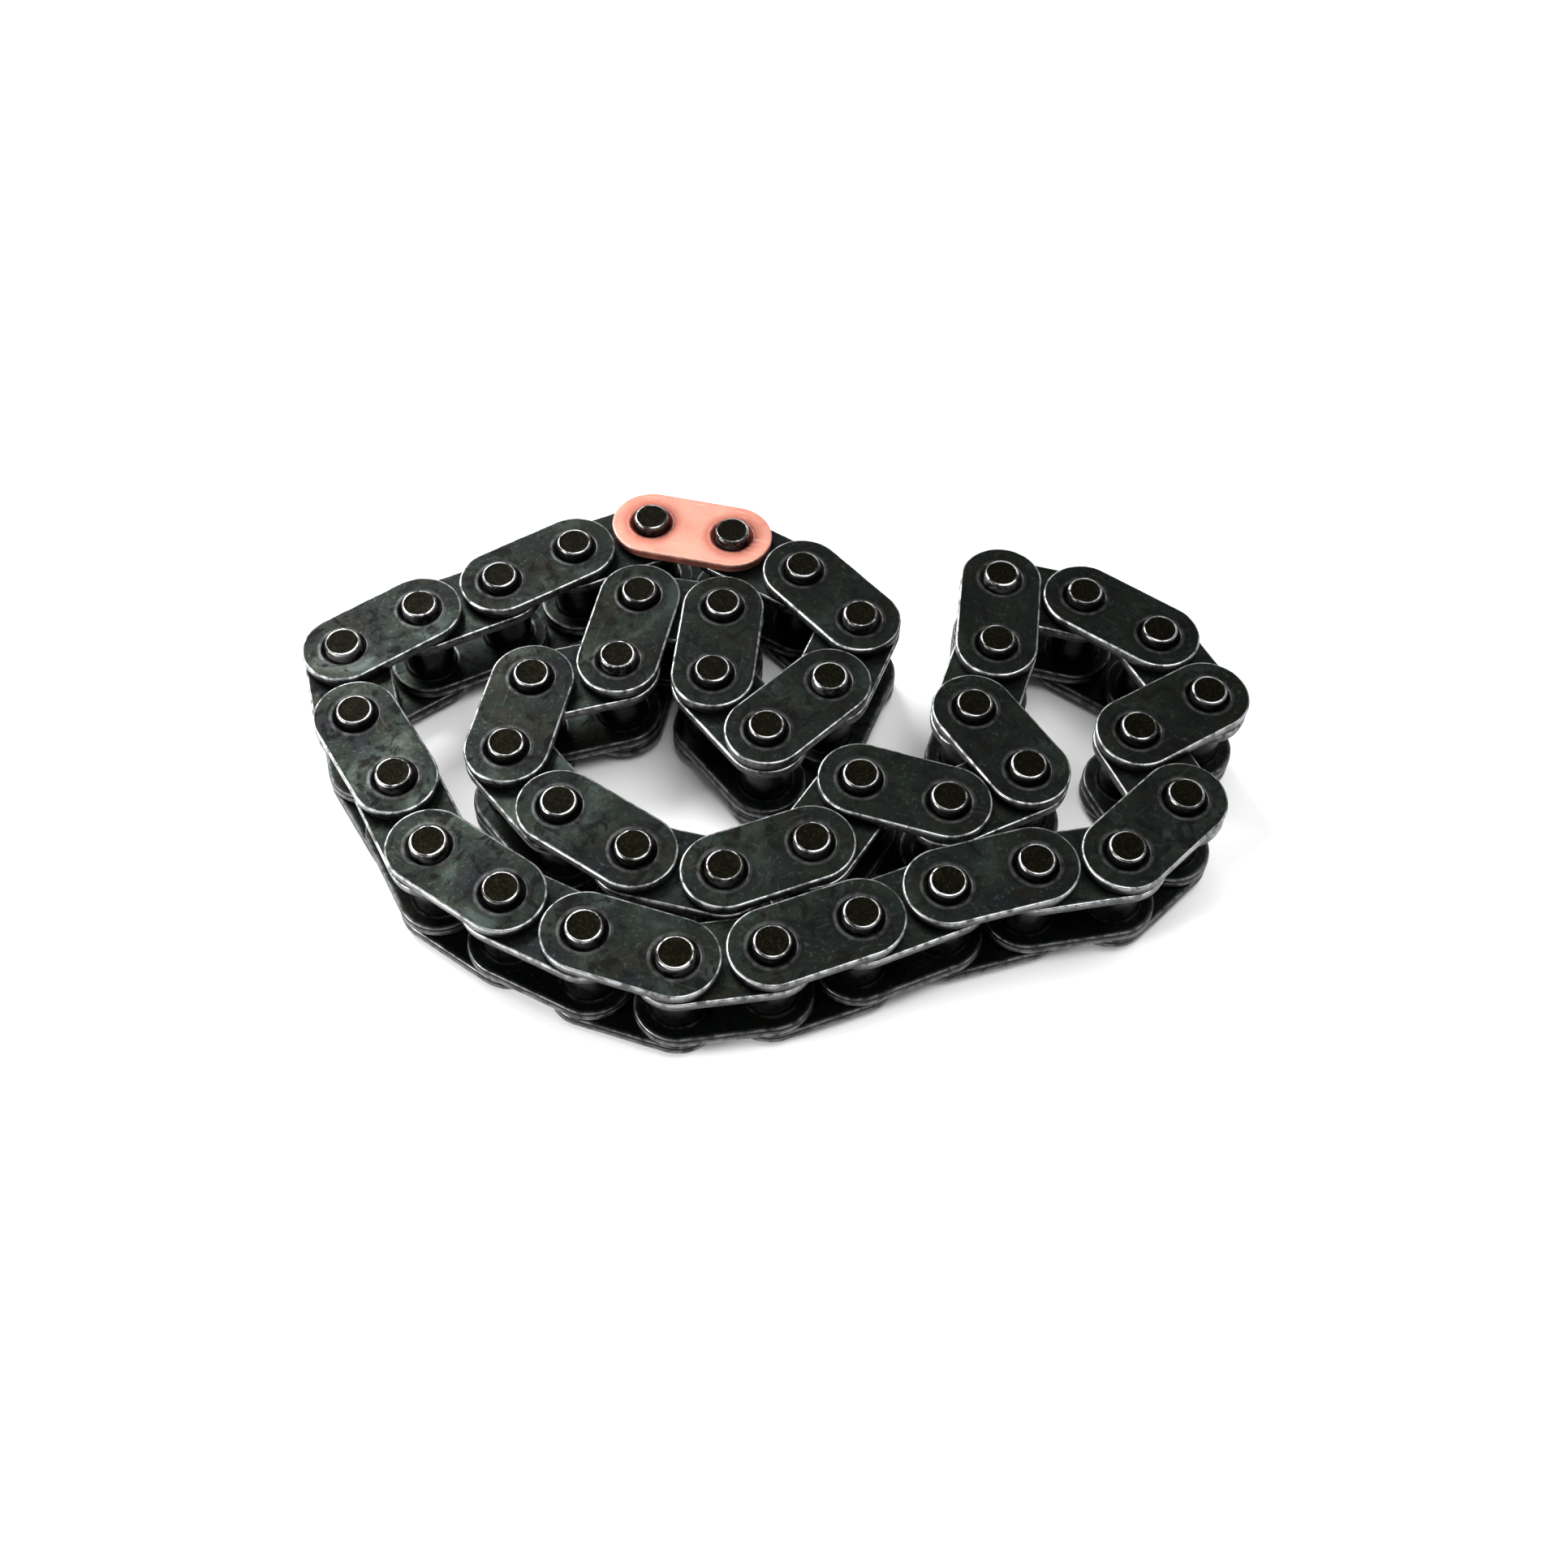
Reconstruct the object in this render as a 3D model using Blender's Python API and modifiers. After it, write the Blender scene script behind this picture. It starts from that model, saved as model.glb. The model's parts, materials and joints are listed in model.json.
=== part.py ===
"""Single-strand bush chain: 42 links closed into a loop, lying on its side in a loose heap.

Metres, +Z up. The chain lies flat, so its pins stand upright and it rests on their lower ends. The
origin is on that resting plane, under the middle of the chain's box.

The links run counter-clockwise, outer and inner by turns, from outer link 1, the marked one with the
coppered upper plate. Six links round the mark are modelled piece by piece. The other 36 are the same
two assemblies with their pressed-together pieces joined: plates and pins, or plates and bushes.
"""

import math

import bmesh
import bpy

# Driving dimensions
PITCH = 0.007774  # from one pin's centre to the next
PLATE_THICKNESS = 0.00105
INNER_WIDTH = 0.0051  # between the two inner plates
PIN_DIAMETER = 0.0032
PIN_PROUD = 0.0008  # how far a pin's end stands out of the outer plate
PIN_CHAMFER = 0.0002
BUSH_WALL = 0.0005

# Clearances
PLATE_END_GAP = 0.00031  # between the ends of two like plates in a straight run
SIDE_PLAY = 0.00025  # between an outer plate and the inner plate beside it
PIN_CLEARANCE = 0.0002  # between a pin and the bush that turns on it, on the radius
PRESS_GAP = 0.00003  # between two pieces pressed together and modelled apart, on the radius

# Sizes that follow from them
PLATE_RADIUS = (PITCH - PLATE_END_GAP) / 2
PIN_RADIUS = PIN_DIAMETER / 2
BORE_RADIUS = PIN_RADIUS + PIN_CLEARANCE
BUSH_RADIUS = BORE_RADIUS + BUSH_WALL

# Heights of the plates' lower faces, from the resting plane up
LOWER_OUTER = PIN_PROUD
LOWER_INNER = LOWER_OUTER + PLATE_THICKNESS + SIDE_PLAY
UPPER_INNER = LOWER_INNER + PLATE_THICKNESS + INNER_WIDTH
UPPER_OUTER = UPPER_INNER + PLATE_THICKNESS + SIDE_PLAY
PIN_LENGTH = UPPER_OUTER + PLATE_THICKNESS + PIN_PROUD
BUSH_HIGH = UPPER_INNER + PLATE_THICKNESS

# How finely round shapes are cut
PIN_SIDES = 10
PLATE_END_STEPS = 6
MERGE = 0.00001

# The lie of the chain: the whole-degree heading of each link, seen from above, except the last two,
# which close_the_loop works out.
HEADINGS = (
    170, 207, 214, 209, 218, 287, 304, 300, 327, 335,
    344, 10, 23, 25, 18, 12, 46, 116, 33, 119,
    147, 167, 265, 253, 305, 208, 165, 239, 203, 168,
    148, 131, 80, 18, 80, 352, 266, 310, 46, 70,
)
SPLIT_NUMBERS = {"outer": (21, 1, 2), "inner": (21, 1, 2)}

# Colour, metallic value and roughness
BLACK_OXIDE = ((0.075, 0.077, 0.078), 0.9, 0.42)
COPPERED = ((0.72, 0.40, 0.30), 0.85, 0.45)
GROUND_STEEL = ((0.13, 0.12, 0.11), 0.95, 0.35)


def clear_scene():
    for old in list(bpy.data.objects):
        bpy.data.objects.remove(old, do_unlink=True)


def make_collection(name):
    collection = bpy.data.collections.new(name)
    bpy.context.scene.collection.children.link(collection)
    return collection


def make_material(name, finish):
    colour, metallic, roughness = finish
    material = bpy.data.materials.new(name)
    material.use_nodes = True
    shader = material.node_tree.nodes["Principled BSDF"]
    shader.inputs["Base Color"].default_value = (*colour, 1.0)
    shader.inputs["Metallic"].default_value = metallic
    shader.inputs["Roughness"].default_value = roughness
    return material


def arc(centre_x, radius, start, end, steps):
    """Points round (centre_x, 0), both ends included."""
    points = []
    for step in range(steps + 1):
        angle = start + (end - start) * step / steps
        points.append((centre_x + radius * math.cos(angle), radius * math.sin(angle)))
    return points


def ring(centre_x, radius):
    return arc(centre_x, radius, 0, math.tau, PIN_SIDES)[:-1]


def plate_outline():
    """A straight-sided oval round two pins, the first at (0, 0) and the second a pitch along +X."""
    quarter = math.pi / 2
    near_end = arc(0, PLATE_RADIUS, quarter, 3 * quarter, PLATE_END_STEPS)
    far_end = arc(PITCH, PLATE_RADIUS, -quarter, quarter, PLATE_END_STEPS)
    return near_end + far_end


def mesh_of(obj, name):
    """The object's evaluated shape as a mesh of its own, and the object removed."""
    graph = bpy.context.evaluated_depsgraph_get()
    mesh = bpy.data.meshes.new_from_object(obj.evaluated_get(graph))
    mesh.name = name
    bpy.data.objects.remove(obj, do_unlink=True)
    shape = bmesh.new()
    shape.from_mesh(mesh)
    bmesh.ops.remove_doubles(shape, verts=shape.verts, dist=MERGE)
    bmesh.ops.recalc_face_normals(shape, faces=shape.faces)
    shape.to_mesh(mesh)
    shape.free()
    return mesh


def plate_mesh(name, low, hole_radius=None):
    """A plate whose lower face is at height low, with a hole at each pin if hole_radius is given."""
    curve = bpy.data.curves.new(name, "CURVE")
    curve.dimensions = "2D"
    curve.fill_mode = "BOTH"
    curve.extrude = PLATE_THICKNESS / 2
    loops = [plate_outline()]
    if hole_radius:
        loops += [ring(0, hole_radius), ring(PITCH, hole_radius)]
    for loop in loops:
        spline = curve.splines.new("POLY")
        spline.use_cyclic_u = True
        spline.points.add(len(loop) - 1)
        for point, (x, y) in zip(spline.points, loop):
            point.co = (x, y, 0, 1)
    blank = bpy.data.objects.new(name, curve)
    WORKSHOP.objects.link(blank)
    bpy.context.view_layer.update()
    mesh = mesh_of(blank, name)
    for vertex in mesh.vertices:
        vertex.co.z += low + PLATE_THICKNESS / 2
    return mesh


def turned_mesh(name, profile, centre_x=0, closed=False):
    """A profile of (radius, height) points, top to bottom down its outer side, turned about Z."""
    count = len(profile)
    edges = [(i, i + 1) for i in range(count - 1)]
    if closed:
        edges.append((count - 1, 0))
    mesh = bpy.data.meshes.new(name)
    mesh.from_pydata([(radius, 0, height) for radius, height in profile], edges, [])
    blank = bpy.data.objects.new(name, mesh)
    WORKSHOP.objects.link(blank)
    screw = blank.modifiers.new("turn", "SCREW")
    screw.steps = PIN_SIDES
    screw.render_steps = PIN_SIDES
    screw.use_merge_vertices = True
    screw.merge_threshold = MERGE
    bpy.context.view_layer.update()
    turned = mesh_of(blank, name)
    bpy.data.meshes.remove(mesh)
    for vertex in turned.vertices:
        vertex.co.x += centre_x
    return turned


def pin_mesh(name, centre_x=0):
    flat = PIN_RADIUS - PIN_CHAMFER
    profile = (
        (0, PIN_LENGTH),
        (flat, PIN_LENGTH),
        (PIN_RADIUS, PIN_LENGTH - PIN_CHAMFER),
        (PIN_RADIUS, PIN_CHAMFER),
        (flat, 0),
        (0, 0),
    )
    return turned_mesh(name, profile, centre_x)


def bush_mesh(name):
    profile = (
        (BORE_RADIUS, BUSH_HIGH),
        (BUSH_RADIUS, BUSH_HIGH),
        (BUSH_RADIUS, LOWER_INNER),
        (BORE_RADIUS, LOWER_INNER),
    )
    return turned_mesh(name, profile, closed=True)


def post_mesh(name, radius, low, high, centre_x):
    """A plain round bar upright at (centre_x, 0)."""
    return turned_mesh(name, ((0, high), (radius, high), (radius, low), (0, low)), centre_x)


def joined_mesh(name, meshes, cuts=()):
    """The meshes united into one closed body, less the cuts."""
    first = bpy.data.objects.new(name, meshes[0])
    WORKSHOP.objects.link(first)
    steps = [("UNION", mesh) for mesh in meshes[1:]] + [("DIFFERENCE", mesh) for mesh in cuts]
    tools = []
    for operation, mesh in steps:
        tool = bpy.data.objects.new(mesh.name, mesh)
        WORKSHOP.objects.link(tool)
        tool.hide_render = True
        tool.display_type = "WIRE"
        boolean = first.modifiers.new(mesh.name, "BOOLEAN")
        boolean.operation = operation
        boolean.solver = "EXACT"
        boolean.object = tool
        tools.append(tool)
    bpy.context.view_layer.update()
    whole = mesh_of(first, name)
    for tool in tools:
        bpy.data.objects.remove(tool, do_unlink=True)
    return whole


def outer_link_mesh():
    return joined_mesh(
        "outer_link",
        (
            plate_mesh("lower_blank", LOWER_OUTER),
            plate_mesh("upper_blank", UPPER_OUTER),
            pin_mesh("near_pin"),
            pin_mesh("far_pin", PITCH),
        ),
    )


def inner_link_mesh():
    """The bushes run from one plate's middle to the other's, and the bores go right through."""
    low = LOWER_INNER + PLATE_THICKNESS / 2
    high = UPPER_INNER + PLATE_THICKNESS / 2
    return joined_mesh(
        "inner_link",
        (
            plate_mesh("lower_blank", LOWER_INNER),
            plate_mesh("upper_blank", UPPER_INNER),
            post_mesh("near_bush", BUSH_RADIUS, low, high, 0),
            post_mesh("far_bush", BUSH_RADIUS, low, high, PITCH),
        ),
        (
            post_mesh("near_bore", BORE_RADIUS, 0, PIN_LENGTH, 0),
            post_mesh("far_bore", BORE_RADIUS, 0, PIN_LENGTH, PITCH),
        ),
    )


def close_the_loop(headings):
    """All the headings in radians: two more links take the open end back to the start."""
    turns = [math.radians(heading) for heading in headings]
    gap_x = -sum(math.cos(turn) for turn in turns)
    gap_y = -sum(math.sin(turn) for turn in turns)
    middle = math.atan2(gap_y, gap_x)
    half_angle = math.acos(math.hypot(gap_x, gap_y) / 2)
    return turns + [middle - half_angle, middle + half_angle]


def link_starts(turns):
    """The first pin's place for each link, with the marked link's first pin at (0, 0)."""
    x, y = 0.0, 0.0
    starts = []
    for turn in turns:
        starts.append((x, y))
        x += PITCH * math.cos(turn)
        y += PITCH * math.sin(turn)
    return starts


def box_centre(starts, turns):
    """The middle of the box round all the plates, as seen from above."""
    across, along = [], []
    for (x, y), turn in zip(starts, turns):
        for u, v in plate_outline():
            across.append(x + u * math.cos(turn) - v * math.sin(turn))
            along.append(y + u * math.sin(turn) + v * math.cos(turn))
    return (min(across) + max(across)) / 2, (min(along) + max(along)) / 2


def add_node(name, mesh, material, parent=None, place=(0, 0, 0), turn=0):
    """A visible sub-part, which may share its mesh with others: its material sits on the object."""
    node = bpy.data.objects.new(name, mesh)
    CHAIN.objects.link(node)
    node.parent = parent
    node.location = place
    node.rotation_euler = (0, 0, turn)
    if not mesh.materials:
        mesh.materials.append(None)
        mesh.shade_smooth()
        mesh.set_sharp_from_angle(angle=math.radians(40))
    node.material_slots[0].link = "OBJECT"
    node.material_slots[0].material = material
    return node


def add_pivot(name, place, turn):
    """An empty on the axis that a split link turns about, which carries the link's pieces."""
    pivot = bpy.data.objects.new(name, None)
    CHAIN.objects.link(pivot)
    pivot.location = place
    pivot.rotation_euler = (0, 0, turn)
    pivot.empty_display_size = PITCH / 2
    return pivot


clear_scene()
CHAIN = make_collection("drive_chain")
WORKSHOP = make_collection("blanks")

steel = make_material("black_oxide_steel", BLACK_OXIDE)
copper = make_material("coppered_steel", COPPERED)
ground = make_material("ground_pin_steel", GROUND_STEEL)

joined = {"outer": outer_link_mesh(), "inner": inner_link_mesh()}
near_post = {"outer": pin_mesh("pin"), "inner": bush_mesh("bush")}
post_names = {"outer": "pin", "inner": "bush"}
plates = {
    "outer": {
        "lower": plate_mesh("lower_outer_plate", LOWER_OUTER, PIN_RADIUS + PRESS_GAP),
        "upper": plate_mesh("upper_outer_plate", UPPER_OUTER, PIN_RADIUS + PRESS_GAP),
    },
    "inner": {
        "lower": plate_mesh("lower_inner_plate", LOWER_INNER, BUSH_RADIUS + PRESS_GAP),
        "upper": plate_mesh("upper_inner_plate", UPPER_INNER, BUSH_RADIUS + PRESS_GAP),
    },
}

turns = close_the_loop(HEADINGS)
starts = link_starts(turns)
centre_x, centre_y = box_centre(starts, turns)

for index, ((x, y), turn) in enumerate(zip(starts, turns)):
    kind = ("outer", "inner")[index % 2]
    number = index // 2 + 1
    name = f"{kind}_link_{number:02d}"
    place = (x - centre_x, y - centre_y, 0)
    if number not in SPLIT_NUMBERS[kind]:
        add_node(name, joined[kind], steel, place=place, turn=turn)
        continue
    pivot = add_pivot(name + "_pivot", place, turn)
    for level, mesh in plates[kind].items():
        marked = (kind, number, level) == ("outer", 1, "upper")
        add_node(f"{name}_{level}_plate", mesh, copper if marked else steel, pivot)
    post = post_names[kind]
    post_material = ground if kind == "outer" else steel
    add_node(f"{name}_near_{post}", near_post[kind], post_material, pivot)
    add_node(f"{name}_far_{post}", near_post[kind], post_material, pivot, (PITCH, 0, 0))
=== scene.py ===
"""The looks of the bush chain: every plate, pin and bush as its own fine piece, riding on its link.

Each piece is built round its own first hole or axis, with +X along its link and +Z along the pins, and
every point keeps that place in a mesh attribute, which the finishes read.
"""

import json
import math
import random

import bmesh
import bpy
from mathutils import Matrix, Vector


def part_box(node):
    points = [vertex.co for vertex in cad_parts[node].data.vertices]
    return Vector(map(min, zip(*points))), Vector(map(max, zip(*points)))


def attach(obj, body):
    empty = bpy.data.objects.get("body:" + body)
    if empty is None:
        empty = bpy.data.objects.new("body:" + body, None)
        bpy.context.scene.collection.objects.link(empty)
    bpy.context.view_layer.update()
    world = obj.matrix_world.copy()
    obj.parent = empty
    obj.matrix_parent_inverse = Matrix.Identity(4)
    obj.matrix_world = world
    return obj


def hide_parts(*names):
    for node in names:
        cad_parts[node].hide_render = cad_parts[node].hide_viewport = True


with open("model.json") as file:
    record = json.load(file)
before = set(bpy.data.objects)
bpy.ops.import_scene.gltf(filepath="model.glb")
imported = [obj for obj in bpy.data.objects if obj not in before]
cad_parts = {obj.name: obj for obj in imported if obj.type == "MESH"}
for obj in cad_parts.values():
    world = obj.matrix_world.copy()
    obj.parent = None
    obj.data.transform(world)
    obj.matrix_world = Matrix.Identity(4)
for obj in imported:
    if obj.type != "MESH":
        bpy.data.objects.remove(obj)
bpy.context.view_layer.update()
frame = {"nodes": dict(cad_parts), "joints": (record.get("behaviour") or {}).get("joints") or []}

MM = 0.001
LINKS = 42
FULL_TURN = math.tau

# ---------------------------------------------------------------------------------------------
# Sizes, measured on the frame
# ---------------------------------------------------------------------------------------------


def node_points(name):
    return [vertex.co.copy() for vertex in frame["nodes"][name].data.vertices]


def box_middle(name):
    low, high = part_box(name)
    return (low + high) / 2


def link_starts():
    """The place of each link's first pin, from above."""
    starts = [box_middle("outer_link_01_near_pin").to_2d()]
    places = {joint["name"]: joint["pos_m"] for joint in frame["joints"]}
    for link in range(1, LINKS):
        x, y, _ = places[f"pivot_{link:02d}"]
        starts.append(Vector((x, y)))
    return starts


def reach(name, centre):
    """How far the node's points lie from an upright line, nearest and farthest."""
    spans = [(point.to_2d() - centre).length for point in node_points(name)]
    return min(spans), max(spans)


STARTS = link_starts()
HEADINGS = []
for link in range(LINKS):
    along = STARTS[(link + 1) % LINKS] - STARTS[link]
    HEADINGS.append(math.atan2(along.y, along.x))
PITCH = (STARTS[2] - STARTS[1]).length

marked_side = Vector((-math.sin(HEADINGS[0]), math.cos(HEADINGS[0])))
PLATE_RADIUS = max(
    (point.to_2d() - STARTS[0]).dot(marked_side) for point in node_points("outer_link_01_upper_plate")
)
PIN_RADIUS = reach("outer_link_01_near_pin", STARTS[0])[1]
BORE_RADIUS, BUSH_RADIUS = reach("inner_link_01_near_bush", STARTS[1])
PIN_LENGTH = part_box("outer_link_01_near_pin")[1].z
BUSH_LOW, BUSH_HIGH = (corner.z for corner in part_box("inner_link_01_near_bush"))
LEVELS = {}
for kind in ("outer", "inner"):
    for level in ("lower", "upper"):
        low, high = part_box(f"{kind}_link_01_{level}_plate")
        LEVELS[kind, level] = low.z
        PLATE_THICKNESS = high.z - low.z

# ---------------------------------------------------------------------------------------------
# Mesh tools
# ---------------------------------------------------------------------------------------------


class Wave:
    """A smooth repeating wobble round a full turn, between about -1 and 1."""

    def __init__(self, dice, slowest, fastest):
        self.terms = [
            (count, dice.uniform(0, FULL_TURN), dice.uniform(0.5, 1) / count**0.5)
            for count in range(slowest, fastest + 1)
        ]
        self.total = sum(size for _, _, size in self.terms) / 2

    def at(self, turn):
        value = sum(size * math.sin(count * turn + shift) for count, shift, size in self.terms)
        return value / self.total


class Builder:
    """A mesh made of rings of points, each ring with its own worn-edge and cut-wall value."""

    def __init__(self):
        self.shape = bmesh.new()
        self.worn = self.shape.verts.layers.float.new("worn")
        self.cut = self.shape.verts.layers.float.new("cut")

    def ring(self, points, worn=0.0, cut=0.0):
        made = []
        for point in points:
            vertex = self.shape.verts.new(point)
            vertex[self.worn] = worn
            vertex[self.cut] = cut
            made.append(vertex)
        return made

    def strip(self, first, second):
        count = len(first)
        for i in range(count):
            j = (i + 1) % count
            self.shape.faces.new((first[i], second[i], second[j], first[j]))

    def strips(self, rings, closed=False):
        for first, second in zip(rings, rings[1:]):
            self.strip(first, second)
        if closed:
            self.strip(rings[-1], rings[0])

    def cap(self, ring, height):
        """A fan from the ring to one point on the axis."""
        middle = self.shape.verts.new((0, 0, height))
        middle[self.worn] = ring[0][self.worn]
        middle[self.cut] = ring[0][self.cut]
        for i in range(len(ring)):
            self.shape.faces.new((ring[i], ring[(i + 1) % len(ring)], middle))

    def sheet(self, rings):
        """A flat face between an outline and the holes in it."""
        edges = []
        for ring in rings:
            for i in range(len(ring)):
                edges.append(self.shape.edges.get((ring[i], ring[(i + 1) % len(ring)])))
        bmesh.ops.triangle_fill(self.shape, use_beauty=True, edges=edges)

    def finish(self, name):
        bmesh.ops.recalc_face_normals(self.shape, faces=self.shape.faces)
        place = self.shape.verts.layers.float_vector.new("place")
        for vertex in self.shape.verts:
            vertex[place] = vertex.co
        mesh = bpy.data.meshes.new(name)
        self.shape.to_mesh(mesh)
        self.shape.free()
        mesh.shade_smooth()
        mesh.set_sharp_from_angle(angle=math.radians(55))
        return mesh


# ---------------------------------------------------------------------------------------------
# Plates
# ---------------------------------------------------------------------------------------------

ARC_STEPS = 40
SIDE_STEPS = 8
HOLE_STEPS = 56
EDGE_SHY = 0.012 * MM  # how far the outline keeps inside the frame's plate, with the wobble below
EDGE_WOBBLE = 0.010 * MM
ROLL_DROP = 0.014 * MM  # the rolled edge sinks by up to this where it was struck
LIP_WANDER = 0.02 * MM
LIP_LIFT = 0.008 * MM
RUBBED = 0.3  # a station more worn than this wobbles


def plate_spine():
    """(point on the middle line, outward direction) round a straight-sided oval, anticlockwise."""
    around = []
    for centre, start, side_from, side_to, side_way in (
        (0.0, 90, 0.0, PITCH, -1),
        (PITCH, -90, PITCH, 0.0, 1),
    ):
        for step in range(ARC_STEPS):
            turn = math.radians(start + 180 * step / ARC_STEPS)
            around.append(((centre, 0.0), (math.cos(turn), math.sin(turn))))
        for step in range(SIDE_STEPS):
            x = side_from + (side_to - side_from) * step / SIDE_STEPS
            around.append(((x, 0.0), (0.0, side_way)))
    return around


def blanked_edge(thickness, roll):
    """(inset, height, worn, cut) from the top face over the rolled edge and down the sheared wall."""
    stations = [(0.42 * MM, thickness, 0.0, 0.0), (roll + 0.05 * MM, thickness, 0.0, 0.0)]
    for step in range(5):
        turn = math.radians(90 * step / 4)
        worn = (0.35, 1.0, 1.0, 0.8, 0.4)[step]
        inset = roll * (1 - math.sin(turn))
        stations.append((inset, thickness - roll * (1 - math.cos(turn)), worn, 0.25 * step))
    stations += [
        (0.0, thickness * 0.50, 0.10, 1.0),
        (0.022 * MM, thickness * 0.45, 0.28, 1.0),
        (0.05 * MM, thickness * 0.41, 0.0, 0.6),
        (0.06 * MM, thickness * 0.16, 0.0, 0.6),
        (0.075 * MM, thickness * 0.08, 0.30, 0.8),
        (0.13 * MM, 0.012 * MM, 0.30, 0.5),
        (0.20 * MM, 0.0, 0.1, 0.0),
        (0.42 * MM, 0.0, 0.0, 0.0),
    ]
    return stations


def coined_hole(radius, thickness):
    """(radius, height, worn, cut) from the top face down through a hole with a coined, raised lip."""
    return [
        (radius + 0.78 * MM, thickness, 0.0, 0.0),
        (radius + 0.60 * MM, thickness, 0.05, 0.0),
        (radius + 0.53 * MM, thickness + 0.012 * MM, 0.03, 0.0),
        (radius + 0.46 * MM, thickness + 0.014 * MM, 0.07, 0.1),
        (radius + 0.39 * MM, thickness - 0.004 * MM, 0.05, 0.5),
        (radius + 0.32 * MM, thickness - 0.07 * MM, 0.0, 0.9),
        (radius + 0.16 * MM, thickness - 0.26 * MM, 0.0, 1.0),
        (radius, thickness - 0.38 * MM, 0.0, 1.0),
        (radius, 0.12 * MM, 0.0, 1.0),
        (radius + 0.10 * MM, 0.0, 0.2, 0.3),
        (radius + 0.40 * MM, 0.0, 0.0, 0.0),
    ]


def plain_hole(radius, thickness):
    return [
        (radius + 0.50 * MM, thickness, 0.0, 0.0),
        (radius + 0.16 * MM, thickness, 0.0, 0.0),
        (radius + 0.05 * MM, thickness - 0.04 * MM, 0.7, 0.4),
        (radius, thickness - 0.14 * MM, 0.2, 1.0),
        (radius, 0.14 * MM, 0.0, 1.0),
        (radius + 0.10 * MM, 0.0, 0.2, 0.3),
        (radius + 0.40 * MM, 0.0, 0.0, 0.0),
    ]


def plate_mesh(name, hole, roll, seed):
    """A blanked plate: its edge rolled over at the top and sheared below, with a like hole at each end."""
    dice = random.Random(seed)
    inset_wave = Wave(dice, 3, 17)
    roll_wave = Wave(dice, 2, 23)
    build = Builder()
    spine = plate_spine()
    rings = []
    for inset, height, worn, cut in blanked_edge(PLATE_THICKNESS, roll):
        points = []
        for i, ((x, y), (out_x, out_y)) in enumerate(spine):
            turn = FULL_TURN * i / len(spine)
            reach_out = PLATE_RADIUS - EDGE_SHY - inset + EDGE_WOBBLE * inset_wave.at(turn)
            drop = 0.0
            if worn > RUBBED and height > PLATE_THICKNESS * 0.6:
                drop = ROLL_DROP * max(0.0, roll_wave.at(turn))
            points.append((x + reach_out * out_x, y + reach_out * out_y, height - drop))
        rings.append(build.ring(points, worn, cut))
    build.strips(rings)
    tops, bottoms = [rings[0]], [rings[-1]]
    for centre in (0.0, PITCH):
        lip_wave = Wave(dice, 1, 9)
        hole_rings = []
        for radius, height, worn, cut in hole:
            lift = LIP_LIFT if height > PLATE_THICKNESS else 0.0
            points = []
            for i in range(HOLE_STEPS):
                turn = FULL_TURN * i / HOLE_STEPS
                at_radius = radius + LIP_WANDER * lip_wave.at(turn) * (worn > RUBBED)
                points.append(
                    (
                        centre + at_radius * math.cos(turn),
                        at_radius * math.sin(turn),
                        height + lift * lip_wave.at(turn),
                    )
                )
            hole_rings.append(build.ring(points, worn, cut))
        build.strips(hole_rings)
        tops.append(hole_rings[0])
        bottoms.append(hole_rings[-1])
    build.sheet(tops)
    build.sheet(bottoms)
    return build.finish(name)


# ---------------------------------------------------------------------------------------------
# Pins and bushes
# ---------------------------------------------------------------------------------------------

PIN_STEPS = 72
BUSH_STEPS = 64
END_SINK = 0.030 * MM  # how far the middle of a pin's end lies below its rim
RIM_WIDTH = 0.3 * MM
BRUISE_IN = 0.020 * MM
BRUISE_DOWN = 0.035 * MM
RIM_WOBBLE_IN = 0.006 * MM
RIM_WOBBLE_DOWN = 0.010 * MM
BUSH_SHY = 0.02 * MM  # how far a bush's ends keep inside the frame's
SEAM_DEPTH = 0.07 * MM


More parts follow.
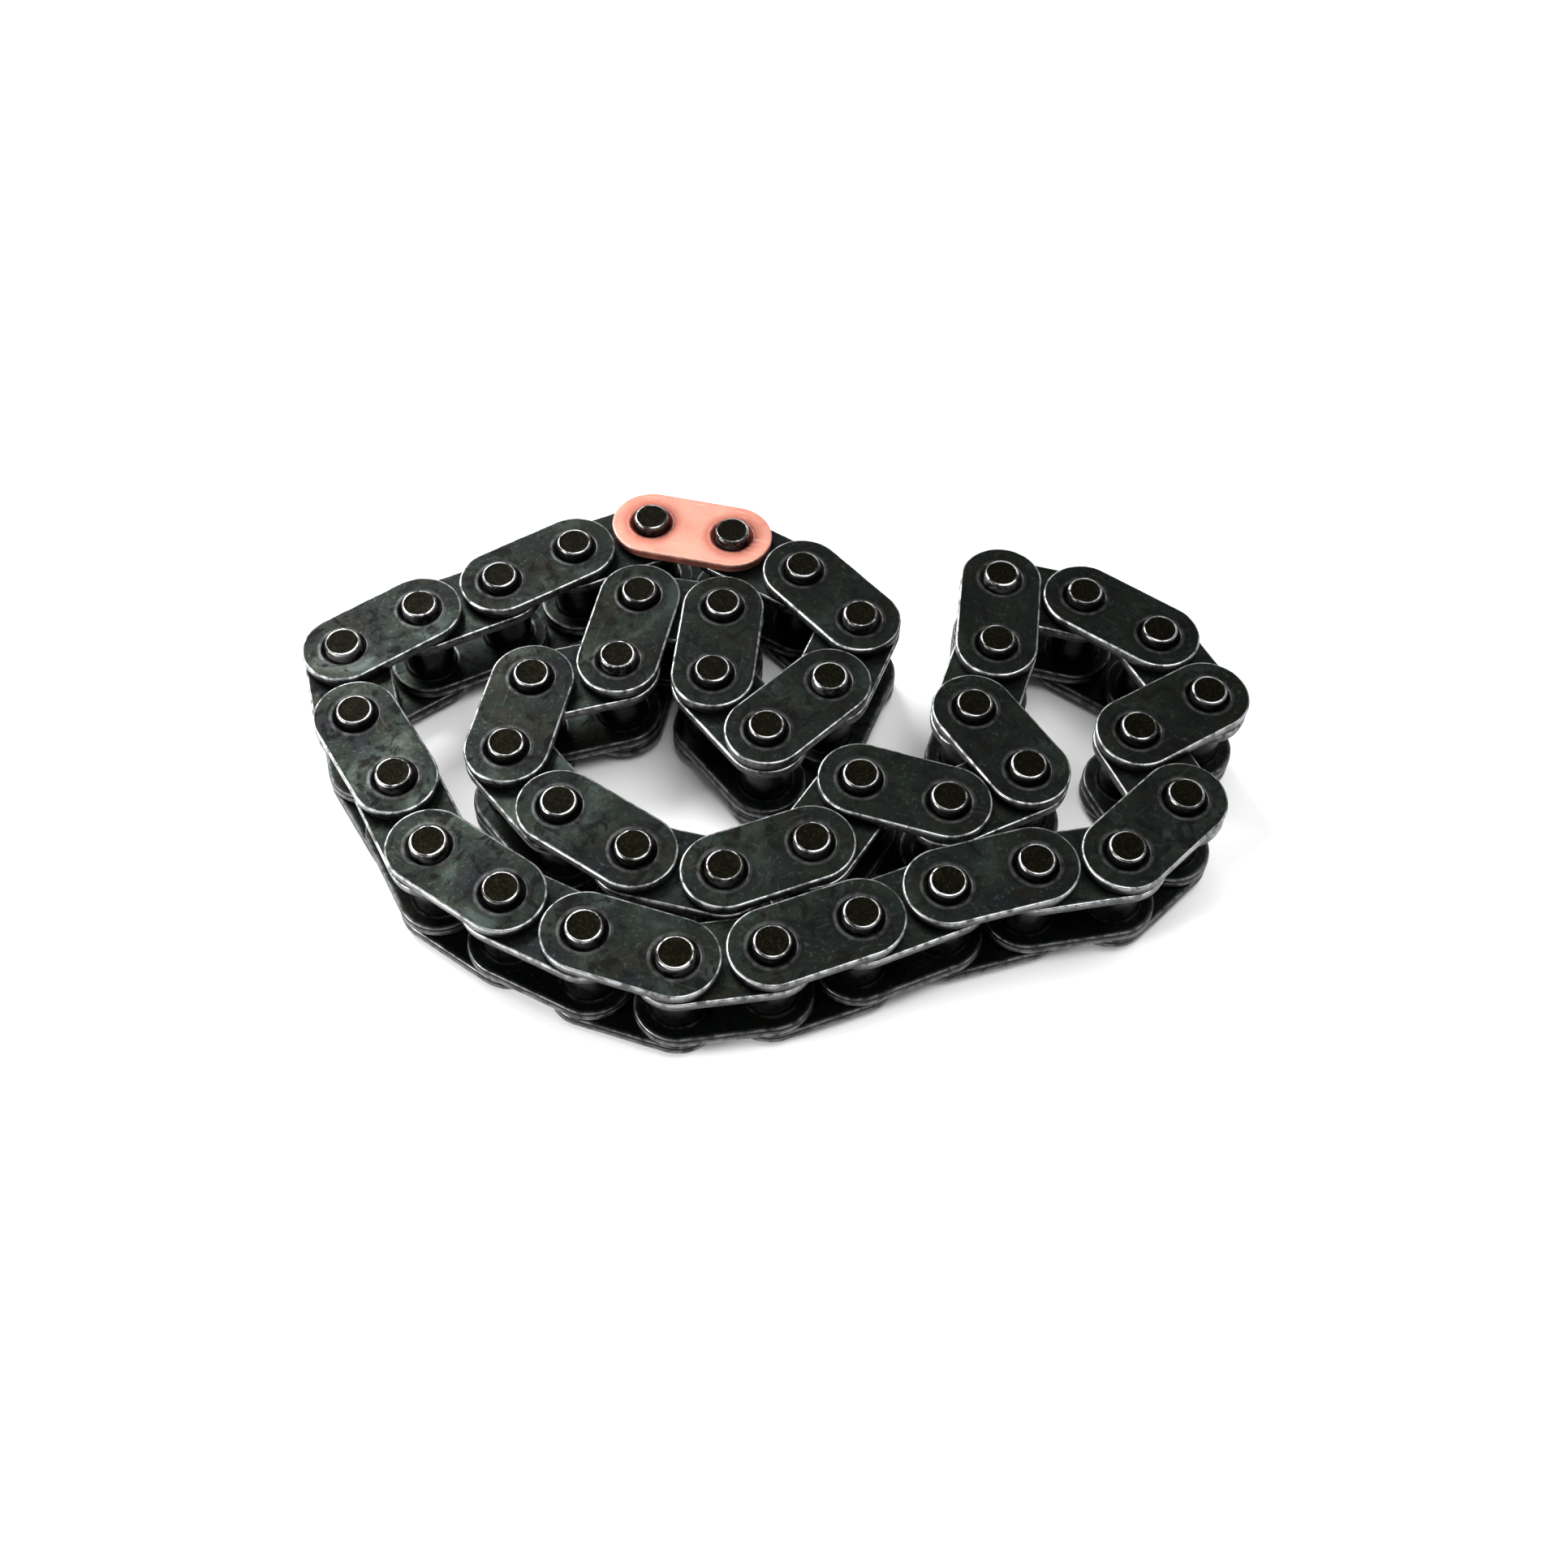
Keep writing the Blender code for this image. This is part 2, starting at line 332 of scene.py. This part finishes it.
def pin_mesh(name, seed):
    """A riveting pin: a flat, slightly sunk end inside a rounded rim that the staking has bruised."""
    dice = random.Random(seed)
    end = [
        (0.55 * MM, END_SINK, 0.0, 1.0),
        (1.05 * MM, 0.028 * MM, 0.0, 1.0),
        (PIN_RADIUS - 0.25 * MM, 0.026 * MM, 0.0, 1.0),
        (PIN_RADIUS - 0.21 * MM, 0.008 * MM, 0.5, 0.6),
        (PIN_RADIUS - 0.17 * MM, 0.0, 0.9, 0.1),
        (PIN_RADIUS - 0.12 * MM, 0.016 * MM, 0.9, 0.0),
        (PIN_RADIUS - 0.07 * MM, 0.060 * MM, 0.5, 0.1),
        (PIN_RADIUS - 0.03 * MM, 0.13 * MM, 0.2, 0.2),
        (PIN_RADIUS, 0.25 * MM, 0.05, 0.1),
        (PIN_RADIUS, 0.60 * MM, 0.0, 0.3),
    ]
    build = Builder()
    rings = []
    for top in (True, False):
        wave = Wave(dice, 2, 11)
        fine = Wave(dice, 7, 23)
        bruises = [
            (dice.uniform(0, FULL_TURN), dice.uniform(0.12, 0.30), dice.uniform(0.4, 1.0))
            for _ in range(dice.randint(3, 6))
        ]
        made = []
        for radius, depth, worn, dark in end:
            points = []
            for i in range(PIN_STEPS):
                turn = FULL_TURN * i / PIN_STEPS
                dent = 0.0
                for middle, width, size in bruises:
                    off = abs((turn - middle + math.pi) % FULL_TURN - math.pi)
                    dent += size * math.exp(-((off / width) ** 2))
                on_rim = PIN_RADIUS - RIM_WIDTH < radius < PIN_RADIUS - 0.01 * MM
                rim = worn if on_rim else 0.0
                at_radius = radius - rim * (BRUISE_IN * dent + RIM_WOBBLE_IN * fine.at(turn))
                at_depth = depth + rim * (BRUISE_DOWN * dent + RIM_WOBBLE_DOWN * (1 + wave.at(turn)))
                height = PIN_LENGTH - at_depth if top else at_depth
                points.append((at_radius * math.cos(turn), at_radius * math.sin(turn), height))
            made.append(build.ring(points, worn, dark))
        rings += made if top else made[::-1]
    build.strips(rings)
    build.cap(rings[0], PIN_LENGTH - END_SINK)
    build.cap(rings[-1], END_SINK)
    return build.finish(name)


def bush_mesh(name, seed):
    """A rolled bush, its seam a narrow groove from end to end."""
    dice = random.Random(seed)
    seam = dice.uniform(0, FULL_TURN)
    low, high = BUSH_LOW + BUSH_SHY, BUSH_HIGH - BUSH_SHY
    outer, inner = BUSH_RADIUS, BORE_RADIUS
    stations = [
        (inner, high - 0.10 * MM, 0.2, 0.5),
        (inner + 0.03 * MM, high - 0.03 * MM, 0.8, 0.2),
        (inner + 0.10 * MM, high, 0.4, 0.0),
        (outer - 0.14 * MM, high, 0.4, 0.0),
        (outer - 0.05 * MM, high - 0.03 * MM, 1.0, 0.0),
        (outer - 0.01 * MM, high - 0.12 * MM, 0.6, 0.0),
        (outer, high - 0.25 * MM, 0.1, 0.0),
        (outer, (low + high) / 2, 0.0, 0.0),
        (outer, low + 0.25 * MM, 0.1, 0.0),
        (outer - 0.01 * MM, low + 0.12 * MM, 0.6, 0.0),
        (outer - 0.05 * MM, low + 0.03 * MM, 1.0, 0.0),
        (outer - 0.14 * MM, low, 0.4, 0.0),
        (inner + 0.10 * MM, low, 0.4, 0.0),
        (inner + 0.03 * MM, low + 0.03 * MM, 0.8, 0.2),
        (inner, low + 0.10 * MM, 0.2, 0.5),
        (inner, (low + high) / 2, 0.0, 1.0),
    ]
    turns = [seam + FULL_TURN * i / BUSH_STEPS for i in range(1, BUSH_STEPS)]
    groove = [(-0.030, 0.0), (-0.014, 1.0), (0.014, 1.0), (0.030, 0.0)]
    turns = [seam + turn for turn, _ in groove] + turns
    depths = [depth for _, depth in groove] + [0.0] * (BUSH_STEPS - 1)
    build = Builder()
    rings = []
    for radius, height, worn, cut in stations:
        points = []
        for turn, depth in zip(turns, depths):
            at_radius = radius - SEAM_DEPTH * depth * (radius > outer - 0.2 * MM)
            points.append((at_radius * math.cos(turn), at_radius * math.sin(turn), height))
        rings.append(build.ring(points, worn, cut))
    build.strips(rings, closed=True)
    return build.finish(name)


# ---------------------------------------------------------------------------------------------
# Finishes
# ---------------------------------------------------------------------------------------------


class Finish:
    """A material's node tree, made a node at a time. An input is a number, a colour or an output."""

    def __init__(self, name):
        self.material = bpy.data.materials.new(name)
        self.material.use_nodes = True
        self.tree = self.material.node_tree
        self.shader = self.tree.nodes["Principled BSDF"]
        self.spot = self.new("ShaderNodeAttribute", attribute_name="place").outputs["Vector"]

    def new(self, kind, **settings):
        node = self.tree.nodes.new(kind)
        for key, value in settings.items():
            setattr(node, key, value)
        return node

    def feed(self, socket, value):
        if isinstance(value, bpy.types.NodeSocket):
            self.tree.links.new(value, socket)
        elif isinstance(value, tuple) and len(value) == 3 and socket.type == "RGBA":
            socket.default_value = (*value, 1.0)
        else:
            socket.default_value = value

    def value(self, name):
        """A number held by the mesh, or by the object for its seed."""
        where = "OBJECT" if name == "seed" else "GEOMETRY"
        return self.new("ShaderNodeAttribute", attribute_type=where, attribute_name=name).outputs["Fac"]

    def math(self, operation, *values, clamp=False):
        node = self.new("ShaderNodeMath", operation=operation, use_clamp=clamp)
        for socket, value in zip(node.inputs, values):
            self.feed(socket, value)
        return node.outputs[0]

    def stretched(self, scale):
        node = self.new("ShaderNodeMapping")
        self.feed(node.inputs["Vector"], self.spot)
        self.feed(node.inputs["Scale"], scale)
        return node.outputs[0]

    def noise(self, size, detail=3.0, roughness=0.55, distortion=0.0, where=None, shift=0.0):
        """Noise with features about size millimetres across, different on every piece."""
        node = self.new("ShaderNodeTexNoise", noise_dimensions="4D")
        self.feed(node.inputs["Vector"], where or self.spot)
        self.feed(node.inputs["W"], self.math("MULTIPLY_ADD", self.value("seed"), 13.7, shift))
        self.feed(node.inputs["Scale"], 1 / (size * MM))
        self.feed(node.inputs["Detail"], detail)
        self.feed(node.inputs["Roughness"], roughness)
        self.feed(node.inputs["Distortion"], distortion)
        return node.outputs["Fac"]

    def between(self, value, low, high, out_low=0.0, out_high=1.0):
        node = self.new("ShaderNodeMapRange", interpolation_type="SMOOTHSTEP")
        for socket, number in zip(node.inputs, (value, low, high, out_low, out_high)):
            self.feed(socket, number)
        return node.outputs[0]

    def ramp(self, value, *stops):
        node = self.new("ShaderNodeValToRGB")
        self.feed(node.inputs["Fac"], value)
        band = node.color_ramp.elements
        while len(band) < len(stops):
            band.new(0.5)
        for element, (place, colour) in zip(band, stops):
            element.position = place
            element.color = (*colour, 1.0)
        return node.outputs["Color"]

    def mix(self, share, first, second, blend="MIX"):
        node = self.new("ShaderNodeMix", data_type="RGBA", blend_type=blend)
        self.feed(node.inputs["Factor"], share)
        self.feed(node.inputs[6], first)
        self.feed(node.inputs[7], second)
        return node.outputs[2]

    def from_pins(self):
        """Distance in millimetres from the nearer of the link's two pin centres."""
        parts = self.new("ShaderNodeSeparateXYZ")
        self.feed(parts.inputs[0], self.spot)
        folded = self.math("ABSOLUTE", self.math("SUBTRACT", parts.outputs["X"], PITCH / 2))
        across = self.math("SUBTRACT", folded, PITCH / 2)
        span = self.new("ShaderNodeCombineXYZ")
        self.feed(span.inputs["X"], across)
        self.feed(span.inputs["Y"], parts.outputs["Y"])
        length = self.new("ShaderNodeVectorMath", operation="LENGTH")
        self.feed(length.inputs[0], span.outputs[0])
        return self.math("MULTIPLY", length.outputs["Value"], 1 / MM)

    def scratches(self, turn, shift):
        """Thin hairlines that run mostly one way."""
        node = self.new("ShaderNodeMapping")
        self.feed(node.inputs["Vector"], self.spot)
        self.feed(node.inputs["Rotation"], (0.0, 0.0, math.radians(turn)))
        self.feed(node.inputs["Scale"], (0.06, 1.0, 0.2))
        way = node.outputs[0]
        lines = self.noise(0.22, detail=2.0, roughness=0.4, distortion=0.6, where=way, shift=shift)
        return self.between(lines, 0.66, 0.72)

    def bump(self, height, strength, distance, below=None):
        node = self.new("ShaderNodeBump")
        self.feed(node.inputs["Height"], height)
        self.feed(node.inputs["Strength"], strength)
        self.feed(node.inputs["Distance"], distance * MM)
        if below is not None:
            self.feed(node.inputs["Normal"], below)
        return node.outputs[0]

    def done(self, colour, metallic, roughness, normal, specular=0.5):
        self.feed(self.shader.inputs["Specular IOR Level"], specular)
        self.feed(self.shader.inputs["Base Color"], colour)
        self.feed(self.shader.inputs["Metallic"], metallic)
        self.feed(self.shader.inputs["Roughness"], roughness)
        self.feed(self.shader.inputs["Normal"], normal)
        return self.material


def black_oxide():
    """Mottled green-grey oxide with brown and violet bloom, oily smears, pits and rubbed edges."""
    f = Finish("plate_black_oxide")
    cloud = f.noise(5.2, detail=5.0, roughness=0.62, distortion=0.5)
    smear = f.noise(1.9, detail=6.0, roughness=0.68, distortion=1.2, shift=3.1)
    speck = f.noise(0.34, detail=3.0, roughness=0.6, shift=7.7)
    grain = f.noise(0.07, detail=2.0, shift=9.2)
    base = f.ramp(
        cloud,
        (0.34, (0.0009, 0.0011, 0.0015)),
        (0.46, (0.0029, 0.0047, 0.0034)),
        (0.56, (0.0072, 0.0106, 0.0077)),
        (0.68, (0.0269, 0.0359, 0.0316)),
    )
    bloom = f.ramp(
        f.noise(2.8, detail=3.0, shift=5.3),
        (0.38, (0.0096, 0.0068, 0.0036)),
        (0.50, (0.0038, 0.0065, 0.0047)),
        (0.62, (0.0055, 0.0049, 0.0086)),
    )
    colour = f.mix(0.32, base, bloom)
    stain = f.between(smear, 0.52, 0.60)
    colour = f.mix(f.math("MULTIPLY", stain, 0.88), colour, (0.0009, 0.0008, 0.0007))
    pits = f.math("MULTIPLY", f.between(speck, 0.62, 0.70), f.between(cloud, 0.62, 0.42))
    colour = f.mix(f.math("MULTIPLY", pits, 0.8), colour, (0.0004, 0.0005, 0.0005))
    freckles = f.math("MULTIPLY", f.between(speck, 0.46, 0.34), f.between(smear, 0.54, 0.44))
    colour = f.mix(f.math("MULTIPLY", freckles, 0.55), colour, (0.0291, 0.0342, 0.0316))
    away = f.from_pins()
    grime = f.math("MULTIPLY", f.between(away, 3.1, 1.9), f.between(smear, 0.35, 0.6, 0.25, 0.8))
    colour = f.mix(grime, colour, (0.0012, 0.0011, 0.0009))
    lines = f.math("MULTIPLY", f.math("MAXIMUM", f.scratches(17, 1.4), f.scratches(-52, 4.9)), 0.30)
    colour = f.mix(lines, colour, (0.0253, 0.0279, 0.0258))
    cut = f.value("cut")
    wall_cloud = f.noise(1.1, detail=4.0, where=f.stretched((1.0, 1.0, 0.25)), shift=2.2)
    wall = f.ramp(
        wall_cloud,
        (0.32, (0.0034, 0.0030, 0.0032)),
        (0.52, (0.0126, 0.0109, 0.0118)),
        (0.72, (0.0588, 0.0525, 0.0546)),
    )
    colour = f.mix(cut, colour, wall)
    rub = f.noise(0.8, detail=4.0, shift=6.6)
    worn = f.math("MULTIPLY", f.value("worn"), f.between(rub, 0.36, 0.60, 0.15, 0.95))
    colour = f.mix(worn, colour, (0.50, 0.51, 0.52))
    rough = f.between(cloud, 0.3, 0.75, 0.44, 0.30)
    rough = f.math("ADD", rough, f.math("MULTIPLY", stain, 0.12))
    rough = f.math("SUBTRACT", rough, f.math("MULTIPLY", worn, 0.14))
    height = f.math("ADD", f.math("MULTIPLY", grain, 0.5), f.math("MULTIPLY", smear, 1.2))
    height = f.math("SUBTRACT", height, f.math("MULTIPLY", pits, 2.2))
    normal = f.bump(height, 0.35, 0.02)
    streaks = f.noise(0.10, detail=2.0, where=f.stretched((1.0, 1.0, 0.06)), shift=8.1)
    normal = f.bump(f.math("MULTIPLY", streaks, cut), 0.5, 0.03, below=normal)
    return f.done(colour, 0.82, rough, normal, 0.22)


def copper_plating():
    """Thin pink copper: pale and satin on the face, burnt brown round the pins, painted darker and redder
    down the wall as painted shade, with rubbed edges a paler pink that is partly wear and partly painted
    highlight.
    """
    f = Finish("marker_copper_plating")
    cloud = f.noise(3.4, detail=5.0, roughness=0.6, distortion=0.4)
    fine = f.noise(0.5, detail=4.0, roughness=0.65, shift=3.3)
    colour = f.ramp(
        cloud,
        (0.30, (0.3471, 0.1195, 0.0826)),
        (0.48, (0.3999, 0.1674, 0.1203)),
        (0.66, (0.4376, 0.2119, 0.1582)),
    )
    away = f.from_pins()
    heat = f.math("MULTIPLY_ADD", fine, 0.5, away)
    colour = f.mix(f.between(heat, 3.5, 2.4, 0.0, 0.85), colour, (0.2565, 0.0649, 0.0413))
    colour = f.mix(f.between(heat, 2.60, 2.15), colour, (0.0302, 0.0089, 0.0063))
    spots = f.math("MULTIPLY", f.between(fine, 0.62, 0.70), f.between(cloud, 0.62, 0.45))
    colour = f.mix(f.math("MULTIPLY", spots, 0.6), colour, (0.2263, 0.0582, 0.0344))
    dings = f.math("MAXIMUM", f.scratches(28, 2.4), f.scratches(-61, 5.9))
    colour = f.mix(f.math("MULTIPLY", dings, 0.55), colour, (0.4981, 0.2939, 0.2339))
    cut = f.value("cut")
    # Painted shade: the sideways wall gets a darker, redder copper than the face.
    wall = f.ramp(
        f.noise(1.0, detail=4.0, where=f.stretched((1.0, 1.0, 0.25)), shift=2.2),
        (0.35, (0.0405, 0.0045, 0.0027)),
        (0.55, (0.1013, 0.0144, 0.0090)),
        (0.72, (0.2025, 0.0428, 0.0270)),
    )
    colour = f.mix(cut, colour, wall)
    # Rubbed edges turn a paler pink: partly wear, partly a painted highlight along the rim.
    worn = f.math("MULTIPLY", f.value("worn"), f.between(fine, 0.35, 0.6, 0.4, 1.0))
    colour = f.mix(f.math("MULTIPLY", worn, 0.8), colour, (0.4678, 0.2733, 0.2200))
    rough = f.between(cloud, 0.3, 0.7, 0.50, 0.38)
    rough = f.math("SUBTRACT", rough, f.math("MULTIPLY", worn, 0.12))
    height = f.math("SUBTRACT", f.math("MULTIPLY", fine, 1.4), f.math("MULTIPLY", dings, 1.0))
    normal = f.bump(height, 0.45, 0.02)
    streaks = f.noise(0.10, detail=2.0, where=f.stretched((1.0, 1.0, 0.06)), shift=8.1)
    normal = f.bump(f.math("MULTIPLY", streaks, cut), 0.5, 0.03, below=normal)
    return f.done(colour, 0.35, rough, normal, 0.30)


def pin_steel():
    """Ground steel: a smutty wall, polished on some pins, a bright bruised rim and an olive-brown end."""
    f = Finish("pin_ground_steel")
    cloud = f.noise(1.3, detail=4.0, roughness=0.6)
    fine = f.noise(0.22, detail=4.0, roughness=0.6, shift=2.7)
    turned = f.noise(0.16, detail=3.0, where=f.stretched((0.15, 0.15, 1.0)), shift=4.4)
    colour = f.ramp(
        turned,
        (0.32, (0.020, 0.0195, 0.019)),
        (0.55, (0.055, 0.054, 0.052)),
        (0.72, (0.200, 0.200, 0.200)),
    )
    smut = f.between(cloud, 0.50, 0.64)
    colour = f.mix(f.math("MULTIPLY", smut, 0.75), colour, (0.0060, 0.0055, 0.0048))
    polished = f.math("MULTIPLY", f.between(f.value("seed"), 5.0, 8.5), f.between(cloud, 0.42, 0.54))
    colour = f.mix(polished, colour, (0.62, 0.62, 0.61))
    end = f.ramp(
        fine,
        (0.34, (0.0008, 0.0007, 0.0003)),
        (0.52, (0.0022, 0.0019, 0.0007)),
        (0.70, (0.0080, 0.0072, 0.0034)),
    )
    dark = f.value("cut")
    colour = f.mix(dark, colour, end)
    rim = f.math("MULTIPLY", f.value("worn"), f.between(cloud, 0.40, 0.60, 0.05, 0.9))
    colour = f.mix(rim, colour, (0.60, 0.61, 0.61))
    rough = f.math("MULTIPLY_ADD", dark, 0.30, f.between(cloud, 0.3, 0.7, 0.16, 0.28))
    height = f.math("MULTIPLY_ADD", fine, 1.0, f.math("MULTIPLY", turned, 0.6))
    return f.done(colour, 0.95, rough, f.bump(height, 0.4, 0.015), 0.15)


def bush_steel():
    """Rolled bush steel: smooth, oiled and dark, with fine grinding rings and a brown cast; its colour is
    kept darker still as painted shade for the gaps between the plates.
    """
    f = Finish("bush_oiled_steel_and_painted_shade")
    cloud = f.noise(1.6, detail=4.0, roughness=0.6, distortion=0.4)
    rings = f.noise(0.12, detail=3.0, where=f.stretched((0.08, 0.08, 1.0)), shift=4.4)
    # Very dark base: partly the oiled steel's own tone, partly painted shade for the shaded gaps between
    # the plates.
    colour = f.ramp(
        cloud,
        (0.32, (0.0029, 0.0024, 0.0020)),
        (0.52, (0.0065, 0.0056, 0.0047)),
        (0.70, (0.0162, 0.0144, 0.0126)),
    )
    colour = f.mix(f.between(rings, 0.45, 0.68, 0.0, 0.30), colour, (0.0252, 0.0230, 0.0209))
    worn = f.math("MULTIPLY", f.value("worn"), f.between(cloud, 0.35, 0.6, 0.4, 1.0))
    colour = f.mix(worn, colour, (0.24, 0.235, 0.23))
    rough = f.between(cloud, 0.3, 0.7, 0.22, 0.36)
    return f.done(colour, 0.9, rough, f.bump(rings, 0.35, 0.012), 0.2)


def floor_paper():
    """Seamless white paper with a barely visible tooth."""
    f = Finish("white_paper")
    tooth = f.noise(1.2, detail=3.0)
    colour = f.ramp(tooth, (0.35, (0.93, 0.93, 0.935)), (0.65, (0.955, 0.955, 0.955)))
    return f.done(colour, 0.0, 0.9, f.bump(tooth, 0.1, 0.01))


FINISHES = {
    "plate_steel": black_oxide(),
    "coppered_plate": copper_plating(),
    "pin_steel": pin_steel(),
    "bush_steel": bush_steel(),
}

# ---------------------------------------------------------------------------------------------
# The chain
# ---------------------------------------------------------------------------------------------

DICE = random.Random(42)
OUTER_HOLE = coined_hole(PIN_RADIUS + 0.02 * MM, PLATE_THICKNESS)
INNER_HOLE = plain_hole(BUSH_RADIUS + 0.01 * MM, PLATE_THICKNESS)
ROLL = 0.15 * MM
SHAPES = {
    "outer": [plate_mesh(f"outer_plate_{i}", OUTER_HOLE, ROLL, 10 + i) for i in range(4)],
    "inner": [plate_mesh(f"inner_plate_{i}", INNER_HOLE, ROLL, 30 + i) for i in range(3)],
    "pin": [pin_mesh(f"pin_{i}", 50 + i) for i in range(8)],
    "bush": [bush_mesh(f"bush_{i}", 70 + i) for i in range(3)],
}


def add_piece(name, shape, slot, link, local, body, nodes):
    """A piece at its link's place: local sets it from the link's first pin."""
    mesh = DICE.choice(SHAPES[shape]).copy()
    mesh.name = name
    mesh.transform(Matrix.Rotation(HEADINGS[link], 4, "Z") @ local)
    mesh.materials.append(FINISHES[slot])
    piece = bpy.data.objects.new(name, mesh)
    bpy.context.scene.collection.objects.link(piece)
    piece.location = (*STARTS[link], 0)
    piece["seed"] = DICE.random() * 10
    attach(piece, body)
    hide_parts(*nodes)
    return piece


def plate_place(kind, level):
    """Both plates of a link turn their rolled edge outwards, away from the chain's middle."""
    height = LEVELS[kind, level]
    if level == "upper":
        return Matrix.Translation((0, 0, height))
    face_down = Matrix.Rotation(math.pi, 4, "X")
    return Matrix.Translation((0, 0, height + PLATE_THICKNESS)) @ face_down


def add_link(link):
    kind = ("outer", "inner")[link % 2]
    number = link // 2 + 1
    body = f"{kind}_{number:02d}"
    name = f"{kind}_link_{number:02d}"
    post = {"outer": "pin", "inner": "bush"}[kind]
    whole = name in frame["nodes"]
    for level in ("lower", "upper"):
        node = f"{name}_{level}_plate"
        marked = link == 0 and level == "upper"
        slot = "coppered_plate" if marked else "plate_steel"
        covers = [name if whole else node]
        piece = f"{kind}_{number:02d}_{level}_plate"
        add_piece(piece, kind, slot, link, plate_place(kind, level), body, covers)
    for end, x in (("near", 0.0), ("far", PITCH)):
        node = f"{name}_{end}_{post}"
        turned = Matrix.Translation((x, 0, 0)) @ Matrix.Rotation(DICE.uniform(0, FULL_TURN), 4, "Z")
        covers = [name if whole else node]
        piece = f"{kind}_{number:02d}_{end}_{post}"
        add_piece(piece, post, f"{post}_steel", link, turned, body, covers)


for link in range(LINKS):
    add_link(link)

# ---------------------------------------------------------------------------------------------
# Stage, light and camera
# ---------------------------------------------------------------------------------------------


def add_floor():
    mesh = bpy.data.meshes.new("paper")
    half = 1.5
    mesh.from_pydata(
        [(-half, -half, 0), (half, -half, 0), (half, half, 0), (-half, half, 0)], [], [(0, 1, 2, 3)]
    )
    floor = bpy.data.objects.new("paper", mesh)
    bpy.context.scene.collection.objects.link(floor)
    mesh.materials.append(floor_paper())


def add_light(name, place, aim, size, power):
    """A soft rectangle of light; metres and watts."""
    lamp = bpy.data.lights.new(name, "AREA")
    lamp.shape = "RECTANGLE"
    lamp.size, lamp.size_y = size
    lamp.energy = power
    light = bpy.data.objects.new(name, lamp)
    bpy.context.scene.collection.objects.link(light)
    light.location = place
    light.rotation_mode = "QUATERNION"
    light.rotation_quaternion = (Vector(aim) - Vector(place)).to_track_quat("-Z", "Y")


def add_world(strength):
    world = bpy.data.worlds.new("room")
    world.use_nodes = True
    back = world.node_tree.nodes["Background"]
    back.inputs["Color"].default_value = (1.0, 1.0, 1.0, 1.0)
    back.inputs["Strength"].default_value = strength
    bpy.context.scene.world = world


def add_camera():
    """Seen from the front and above, a little rolled."""
    tilt = math.radians(55.1)
    roll = math.radians(2.134)
    distance = 19.998 * PITCH
    target = Vector((0.15403 * PITCH, -0.86903 * PITCH, PIN_LENGTH))
    back = Vector((0, -math.cos(tilt), math.sin(tilt)))
    level = Vector((1, 0, 0))
    rise = back.cross(level)
    right = math.cos(roll) * level + math.sin(roll) * rise
    up = math.cos(roll) * rise - math.sin(roll) * level
    turn = Matrix((right, up, back)).transposed()
    lens = bpy.data.cameras.new("camera")
    lens.sensor_width = 36
    lens.lens = 42.222
    lens.clip_start, lens.clip_end = 0.01, 10
    camera = bpy.data.objects.new("camera", lens)
    bpy.context.scene.collection.objects.link(camera)
    camera.matrix_world = Matrix.Translation(target + back * distance) @ turn.to_4x4()
    bpy.context.scene.camera = camera


add_floor()
add_world(0.28)
add_light("key_soft", place=(-0.24, 0.29, 0.38), aim=(0, 0, 0), size=(0.26, 0.26), power=4.4)
add_light("front_left_soft", place=(-0.42, -0.18, 0.13), aim=(0, 0, 0.005), size=(0.24, 0.16), power=4.4)
add_light("overhead_soft", place=(0.14, 0.02, 0.50), aim=(0, 0, 0), size=(0.40, 0.40), power=2.5)
add_camera()
bpy.context.scene.view_settings.view_transform = "Standard"
